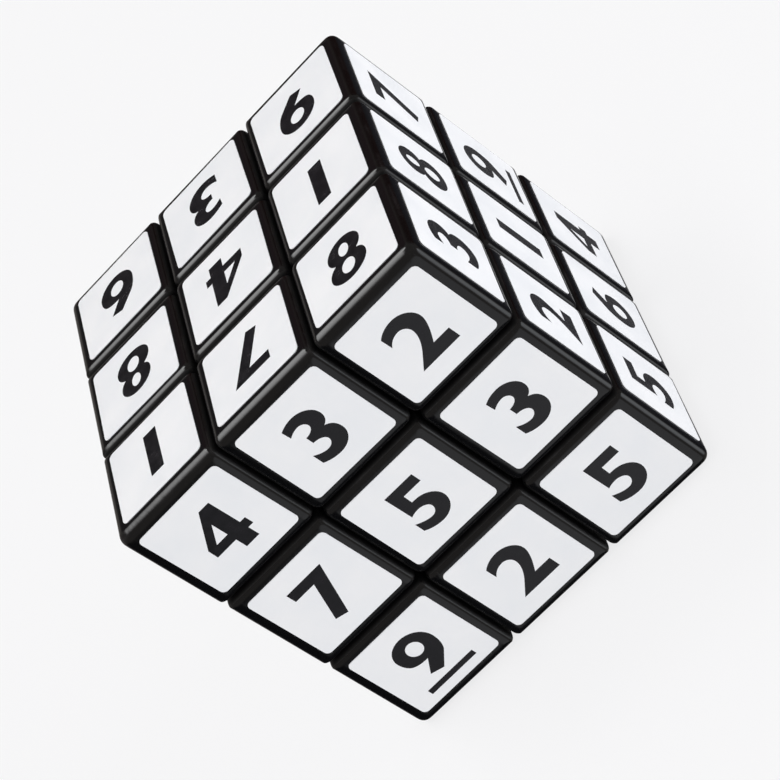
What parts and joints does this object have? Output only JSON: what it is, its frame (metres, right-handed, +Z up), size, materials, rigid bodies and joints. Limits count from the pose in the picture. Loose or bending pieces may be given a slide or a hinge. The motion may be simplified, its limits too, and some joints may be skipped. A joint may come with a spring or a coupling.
{
  "type": "twisting number cube",
  "caption": "Twisting puzzle cube of rounded black blocks with a printed digit on every facet; each face turns without limit about its own axis.",
  "frame": {"origin": "under the cube's middle, on the face that it rests on", "axes": "+Z up through the top face, +X out of the right face, -Y out of the front face; in the picture the front is the large lower face, the top the upper left one and the right the upper right one"},
  "size_m": [0.057, 0.057, 0.057],
  "materials": {
    "black_abs": "gloss",
    "core_plastic": "matte",
    "screw_steel": "satin",
    "spring_steel": "satin",
    "sticker_vinyl": "satin",
    "digit_ink": "matte"
  },
  "bodies": {
    "core": {"core_spider": "core_plastic", "centre_screw_right": "screw_steel", "centre_spring_right": "spring_steel", "centre_screw_left": "screw_steel", "centre_spring_left": "spring_steel", "centre_screw_back": "screw_steel", "centre_spring_back": "spring_steel", "centre_screw_front": "screw_steel", "centre_spring_front": "spring_steel", "centre_screw_top": "screw_steel", "centre_spring_top": "spring_steel", "centre_screw_bottom": "screw_steel", "centre_spring_bottom": "spring_steel"},
    "centre_right": {"centre_base_right": "black_abs", "centre_cap_right": "black_abs"},
    "centre_left": {"centre_base_left": "black_abs", "centre_cap_left": "black_abs"},
    "centre_back": {"centre_base_back": "black_abs", "centre_cap_back": "black_abs"},
    "centre_front": {"centre_base_front": "black_abs", "centre_cap_front": "black_abs"},
    "centre_top": {"centre_base_top": "black_abs", "centre_cap_top": "black_abs"},
    "centre_bottom": {"centre_base_bottom": "black_abs", "centre_cap_bottom": "black_abs"},
    "edge_back_right": {"edge_back_right": "black_abs"},
    "edge_front_right": {"edge_front_right": "black_abs"},
    "edge_top_right": {"edge_top_right": "black_abs"},
    "edge_bottom_right": {"edge_bottom_right": "black_abs"},
    "edge_back_left": {"edge_back_left": "black_abs"},
    "edge_front_left": {"edge_front_left": "black_abs"},
    "edge_top_left": {"edge_top_left": "black_abs"},
    "edge_bottom_left": {"edge_bottom_left": "black_abs"},
    "edge_top_back": {"edge_top_back": "black_abs"},
    "edge_bottom_back": {"edge_bottom_back": "black_abs"},
    "edge_top_front": {"edge_top_front": "black_abs"},
    "edge_bottom_front": {"edge_bottom_front": "black_abs"},
    "corner_top_back_right": {"corner_top_back_right": "black_abs"},
    "corner_bottom_back_right": {"corner_bottom_back_right": "black_abs"},
    "corner_top_front_right": {"corner_top_front_right": "black_abs"},
    "corner_bottom_front_right": {"corner_bottom_front_right": "black_abs"},
    "corner_top_back_left": {"corner_top_back_left": "black_abs"},
    "corner_bottom_back_left": {"corner_bottom_back_left": "black_abs"},
    "corner_top_front_left": {"corner_top_front_left": "black_abs"},
    "corner_bottom_front_left": {"corner_bottom_front_left": "black_abs"}
  },
  "joints": [
    {"name": "right_turn", "type": "hinge", "parent": "core", "child": "centre_right", "pos_m": [0, 0, 0.0285], "axis": [1, 0, 0], "continuous": true},
    {"name": "left_turn", "type": "hinge", "parent": "core", "child": "centre_left", "pos_m": [0, 0, 0.0285], "axis": [-1, 0, 0], "continuous": true},
    {"name": "back_turn", "type": "hinge", "parent": "core", "child": "centre_back", "pos_m": [0, 0, 0.0285], "axis": [0, 1, 0], "continuous": true},
    {"name": "front_turn", "type": "hinge", "parent": "core", "child": "centre_front", "pos_m": [0, 0, 0.0285], "axis": [0, -1, 0], "continuous": true},
    {"name": "top_turn", "type": "hinge", "parent": "core", "child": "centre_top", "pos_m": [0, 0, 0.0285], "axis": [0, 0, 1], "continuous": true},
    {"name": "bottom_turn", "type": "hinge", "parent": "core", "child": "centre_bottom", "pos_m": [0, 0, 0.0285], "axis": [0, 0, -1], "continuous": true},
    {"name": "edge_back_right_with_back", "type": "hinge", "parent": "centre_right", "child": "edge_back_right", "pos_m": [0, 0, 0.0285], "axis": [0, 1, 0], "continuous": true},
    {"name": "edge_front_right_with_front", "type": "hinge", "parent": "centre_right", "child": "edge_front_right", "pos_m": [0, 0, 0.0285], "axis": [0, -1, 0], "continuous": true},
    {"name": "edge_top_right_with_top", "type": "hinge", "parent": "centre_right", "child": "edge_top_right", "pos_m": [0, 0, 0.0285], "axis": [0, 0, 1], "continuous": true},
    {"name": "edge_bottom_right_with_bottom", "type": "hinge", "parent": "centre_right", "child": "edge_bottom_right", "pos_m": [0, 0, 0.0285], "axis": [0, 0, -1], "continuous": true},
    {"name": "edge_back_left_with_left", "type": "hinge", "parent": "centre_back", "child": "edge_back_left", "pos_m": [0, 0, 0.0285], "axis": [-1, 0, 0], "continuous": true},
    {"name": "edge_front_left_with_left", "type": "hinge", "parent": "centre_front", "child": "edge_front_left", "pos_m": [0, 0, 0.0285], "axis": [-1, 0, 0], "continuous": true},
    {"name": "edge_top_left_with_left", "type": "hinge", "parent": "centre_top", "child": "edge_top_left", "pos_m": [0, 0, 0.0285], "axis": [-1, 0, 0], "continuous": true},
    {"name": "edge_bottom_left_with_left", "type": "hinge", "parent": "centre_bottom", "child": "edge_bottom_left", "pos_m": [0, 0, 0.0285], "axis": [-1, 0, 0], "continuous": true},
    {"name": "edge_top_back_with_top", "type": "hinge", "parent": "centre_back", "child": "edge_top_back", "pos_m": [0, 0, 0.0285], "axis": [0, 0, 1], "continuous": true},
    {"name": "edge_bottom_back_with_back", "type": "hinge", "parent": "centre_bottom", "child": "edge_bottom_back", "pos_m": [0, 0, 0.0285], "axis": [0, 1, 0], "continuous": true},
    {"name": "edge_top_front_with_front", "type": "hinge", "parent": "centre_top", "child": "edge_top_front", "pos_m": [0, 0, 0.0285], "axis": [0, -1, 0], "continuous": true},
    {"name": "edge_bottom_front_with_bottom", "type": "hinge", "parent": "centre_front", "child": "edge_bottom_front", "pos_m": [0, 0, 0.0285], "axis": [0, 0, -1], "continuous": true},
    {"name": "corner_top_back_right_with_top", "type": "hinge", "parent": "edge_back_right", "child": "corner_top_back_right", "pos_m": [0, 0, 0.0285], "axis": [0, 0, 1], "continuous": true},
    {"name": "corner_bottom_back_right_with_bottom", "type": "hinge", "parent": "edge_back_right", "child": "corner_bottom_back_right", "pos_m": [0, 0, 0.0285], "axis": [0, 0, -1], "continuous": true},
    {"name": "corner_top_front_right_with_top", "type": "hinge", "parent": "edge_front_right", "child": "corner_top_front_right", "pos_m": [0, 0, 0.0285], "axis": [0, 0, 1], "continuous": true},
    {"name": "corner_bottom_front_right_with_bottom", "type": "hinge", "parent": "edge_front_right", "child": "corner_bottom_front_right", "pos_m": [0, 0, 0.0285], "axis": [0, 0, -1], "continuous": true},
    {"name": "corner_top_back_left_with_top", "type": "hinge", "parent": "edge_back_left", "child": "corner_top_back_left", "pos_m": [0, 0, 0.0285], "axis": [0, 0, 1], "continuous": true},
    {"name": "corner_bottom_back_left_with_bottom", "type": "hinge", "parent": "edge_back_left", "child": "corner_bottom_back_left", "pos_m": [0, 0, 0.0285], "axis": [0, 0, -1], "continuous": true},
    {"name": "corner_top_front_left_with_top", "type": "hinge", "parent": "edge_front_left", "child": "corner_top_front_left", "pos_m": [0, 0, 0.0285], "axis": [0, 0, 1], "continuous": true},
    {"name": "corner_bottom_front_left_with_bottom", "type": "hinge", "parent": "edge_front_left", "child": "corner_bottom_front_left", "pos_m": [0, 0, 0.0285], "axis": [0, 0, -1], "continuous": true}
  ],
  "couplings": [
    {"joint": "edge_back_right_with_back", "follows": "back_turn", "ratio": 1},
    {"joint": "edge_front_right_with_front", "follows": "front_turn", "ratio": 1},
    {"joint": "edge_top_right_with_top", "follows": "top_turn", "ratio": 1},
    {"joint": "edge_bottom_right_with_bottom", "follows": "bottom_turn", "ratio": 1},
    {"joint": "edge_back_left_with_left", "follows": "left_turn", "ratio": 1},
    {"joint": "edge_front_left_with_left", "follows": "left_turn", "ratio": 1},
    {"joint": "edge_top_left_with_left", "follows": "left_turn", "ratio": 1},
    {"joint": "edge_bottom_left_with_left", "follows": "left_turn", "ratio": 1},
    {"joint": "edge_top_back_with_top", "follows": "top_turn", "ratio": 1},
    {"joint": "edge_bottom_back_with_back", "follows": "back_turn", "ratio": 1},
    {"joint": "edge_top_front_with_front", "follows": "front_turn", "ratio": 1},
    {"joint": "edge_bottom_front_with_bottom", "follows": "bottom_turn", "ratio": 1},
    {"joint": "corner_top_back_right_with_top", "follows": "top_turn", "ratio": 1},
    {"joint": "corner_bottom_back_right_with_bottom", "follows": "bottom_turn", "ratio": 1},
    {"joint": "corner_top_front_right_with_top", "follows": "top_turn", "ratio": 1},
    {"joint": "corner_bottom_front_right_with_bottom", "follows": "bottom_turn", "ratio": 1},
    {"joint": "corner_top_back_left_with_top", "follows": "top_turn", "ratio": 1},
    {"joint": "corner_bottom_back_left_with_bottom", "follows": "bottom_turn", "ratio": 1},
    {"joint": "corner_top_front_left_with_top", "follows": "top_turn", "ratio": 1},
    {"joint": "corner_bottom_front_left_with_bottom", "follows": "bottom_turn", "ratio": 1}
  ]
}
